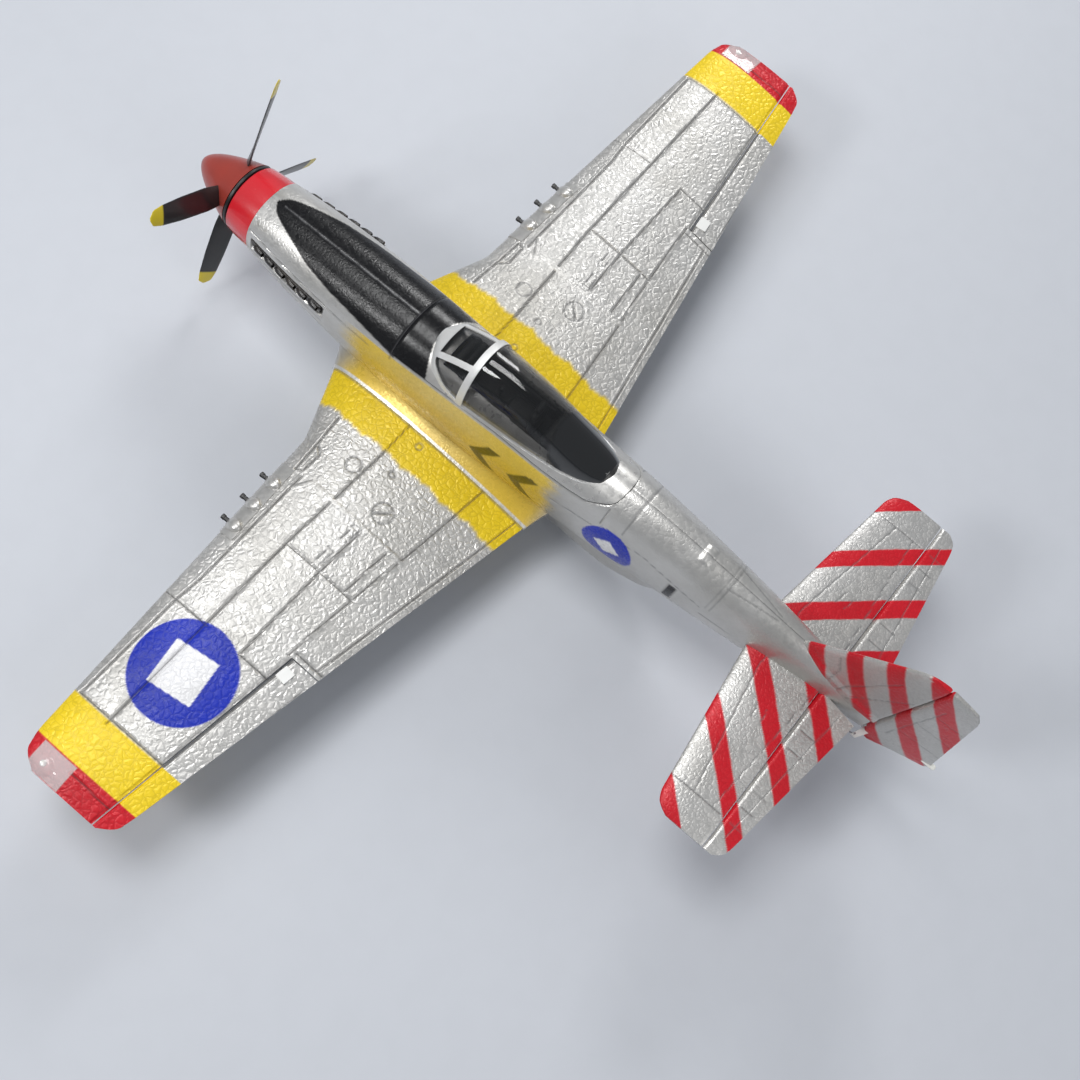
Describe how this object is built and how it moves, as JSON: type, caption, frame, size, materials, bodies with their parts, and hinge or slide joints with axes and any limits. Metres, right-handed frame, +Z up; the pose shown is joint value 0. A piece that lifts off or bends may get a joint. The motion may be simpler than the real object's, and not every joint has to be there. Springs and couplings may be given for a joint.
{
  "type": "rc warbird plane",
  "caption": "Foam radio-controlled warbird plane with propeller, bubble canopy hatch, servo-driven ailerons, elevator and rudder, and a flat belly face to rest on.",
  "frame": {"origin": "centre of the flat rest face under the belly scoop", "axes": "+X to the port (left) wing tip, nose towards -Y, +Z up"},
  "size_m": [0.56, 0.49, 0.145],
  "materials": {
    "silver_foam": "satin",
    "red_plastic": "gloss",
    "brick_plastic": "satin",
    "black_plastic": "satin",
    "bare_metal": "satin",
    "copper_winding": "satin",
    "wood_plate": "matte",
    "smoke_clear": "gloss",
    "frame_paint": "satin",
    "carbon": "satin",
    "white_plastic": "satin",
    "servo_plastic": "matte",
    "steel_wire": "satin",
    "clear_lens": "gloss",
    "battery_wrap": "gloss",
    "hook_loop": "matte",
    "circuit_board": "satin",
    "wire_cover": "satin"
  },
  "bodies": {
    "airframe": {"fuselage_left": "silver_foam", "fuselage_right": "silver_foam", "nose_ring": "red_plastic", "motor_mount": "wood_plate", "motor_screws": "bare_metal", "motor_stator": "copper_winding", "exhausts_left": "black_plastic", "exhausts_right": "black_plastic", "fuselage_magnets": "bare_metal", "wing_left": "silver_foam", "wing_right": "silver_foam", "wing_spars": "carbon", "gun_cover_left": "silver_foam", "gun_cover_right": "silver_foam", "gun_muzzles": "black_plastic", "aileron_servo_left": "servo_plastic", "aileron_servo_right": "servo_plastic", "tip_light_left": "clear_lens", "tip_light_right": "clear_lens", "tip_leds": "clear_lens", "stabilizer": "silver_foam", "elevator_servo": "servo_plastic", "fin": "silver_foam", "rudder_servo": "servo_plastic", "belly_scoop": "silver_foam", "battery": "battery_wrap", "battery_strap": "hook_loop", "receiver_board": "circuit_board", "motor_wires": "wire_cover"},
    "propeller": {"motor_bell": "bare_metal", "prop_adapter": "bare_metal", "spinner_backplate": "black_plastic", "propeller": "black_plastic", "prop_nut": "bare_metal", "spinner": "brick_plastic"},
    "hatch": {"hatch_deck": "silver_foam", "cockpit_interior": "black_plastic", "canopy_glazing": "smoke_clear", "windshield_frame": "frame_paint", "hatch_magnets": "bare_metal"},
    "left_aileron": {"aileron_left": "silver_foam", "aileron_horn_left": "white_plastic"},
    "right_aileron": {"aileron_right": "silver_foam", "aileron_horn_right": "white_plastic"},
    "left_aileron_arm": {"aileron_servo_arm_left": "white_plastic"},
    "right_aileron_arm": {"aileron_servo_arm_right": "white_plastic"},
    "left_aileron_rod": {"aileron_rod_left": "steel_wire"},
    "right_aileron_rod": {"aileron_rod_right": "steel_wire"},
    "elevator": {"elevator": "silver_foam", "elevator_joiner": "steel_wire", "elevator_horn": "white_plastic"},
    "elevator_arm": {"elevator_servo_arm": "white_plastic"},
    "elevator_rod": {"elevator_rod": "steel_wire"},
    "rudder": {"rudder": "silver_foam", "rudder_horn": "white_plastic", "tail_led": "clear_lens"},
    "rudder_arm": {"rudder_servo_arm": "white_plastic"},
    "rudder_rod": {"rudder_rod": "steel_wire"}
  },
  "joints": [
    {"name": "prop_spin", "type": "hinge", "parent": "airframe", "child": "propeller", "pos_m": [0, -0.2174, 0.057], "axis": [0, 1, 0], "continuous": true},
    {"name": "hatch_lift", "type": "slide", "parent": "airframe", "child": "hatch", "axis": [0, 0, 1], "range_m": [0, 0.04]},
    {"name": "left_aileron_hinge", "type": "hinge", "parent": "airframe", "child": "left_aileron", "pos_m": [0.1635, -0.0295, 0.0345], "axis": [0.9903, -0.1253, 0.0606], "range_deg": [-20, 20]},
    {"name": "right_aileron_hinge", "type": "hinge", "parent": "airframe", "child": "right_aileron", "pos_m": [-0.1635, -0.0295, 0.0345], "axis": [-0.9903, -0.1253, 0.0606], "range_deg": [-20, 20]},
    {"name": "left_aileron_servo", "type": "hinge", "parent": "airframe", "child": "left_aileron_arm", "pos_m": [0.16642, -0.07019, 0.03468], "axis": [0.9903, -0.1253, 0.0606], "range_deg": [-20, 20]},
    {"name": "right_aileron_servo", "type": "hinge", "parent": "airframe", "child": "right_aileron_arm", "pos_m": [-0.16642, -0.07019, 0.03468], "axis": [-0.9903, -0.1253, 0.0606], "range_deg": [-20, 20]},
    {"name": "left_aileron_rod_pivot", "type": "hinge", "parent": "left_aileron_arm", "child": "left_aileron_rod", "pos_m": [0.16697, -0.07019, 0.02569], "axis": [0.9903, -0.1253, 0.0606], "range_deg": [-20, 20]},
    {"name": "right_aileron_rod_pivot", "type": "hinge", "parent": "right_aileron_arm", "child": "right_aileron_rod", "pos_m": [-0.16697, -0.07019, 0.02569], "axis": [-0.9903, -0.1253, 0.0606], "range_deg": [-20, 20]},
    {"name": "elevator_hinge", "type": "hinge", "parent": "airframe", "child": "elevator", "pos_m": [0, 0.1795, 0.059], "axis": [1, 0, 0], "range_deg": [-20, 20]},
    {"name": "elevator_servo_turn", "type": "hinge", "parent": "airframe", "child": "elevator_arm", "pos_m": [-0.014, 0.043, 0.059], "axis": [1, 0, 0], "range_deg": [-20, 20]},
    {"name": "elevator_rod_pivot", "type": "hinge", "parent": "elevator_arm", "child": "elevator_rod", "pos_m": [-0.014, 0.043, 0.05], "axis": [1, 0, 0], "range_deg": [-20, 20]},
    {"name": "rudder_hinge", "type": "hinge", "parent": "airframe", "child": "rudder", "pos_m": [0, 0.2085, 0.0475], "axis": [0, 0, 1], "range_deg": [-25, 25]},
    {"name": "rudder_servo_turn", "type": "hinge", "parent": "airframe", "child": "rudder_arm", "pos_m": [0, 0.02, 0.0475], "axis": [0, 0, 1], "range_deg": [-25, 25]},
    {"name": "rudder_rod_pivot", "type": "hinge", "parent": "rudder_arm", "child": "rudder_rod", "pos_m": [0.009, 0.02, 0.0475], "axis": [0, 0, 1], "range_deg": [-25, 25]}
  ],
  "couplings": [
    {"joint": "right_aileron_hinge", "follows": "left_aileron_hinge", "ratio": 1},
    {"joint": "left_aileron_servo", "follows": "left_aileron_hinge", "ratio": 1},
    {"joint": "right_aileron_servo", "follows": "left_aileron_hinge", "ratio": 1},
    {"joint": "left_aileron_rod_pivot", "follows": "left_aileron_hinge", "ratio": -1},
    {"joint": "right_aileron_rod_pivot", "follows": "left_aileron_hinge", "ratio": -1},
    {"joint": "elevator_servo_turn", "follows": "elevator_hinge", "ratio": 1},
    {"joint": "elevator_rod_pivot", "follows": "elevator_hinge", "ratio": -1},
    {"joint": "rudder_servo_turn", "follows": "rudder_hinge", "ratio": 1},
    {"joint": "rudder_rod_pivot", "follows": "rudder_hinge", "ratio": -1}
  ]
}
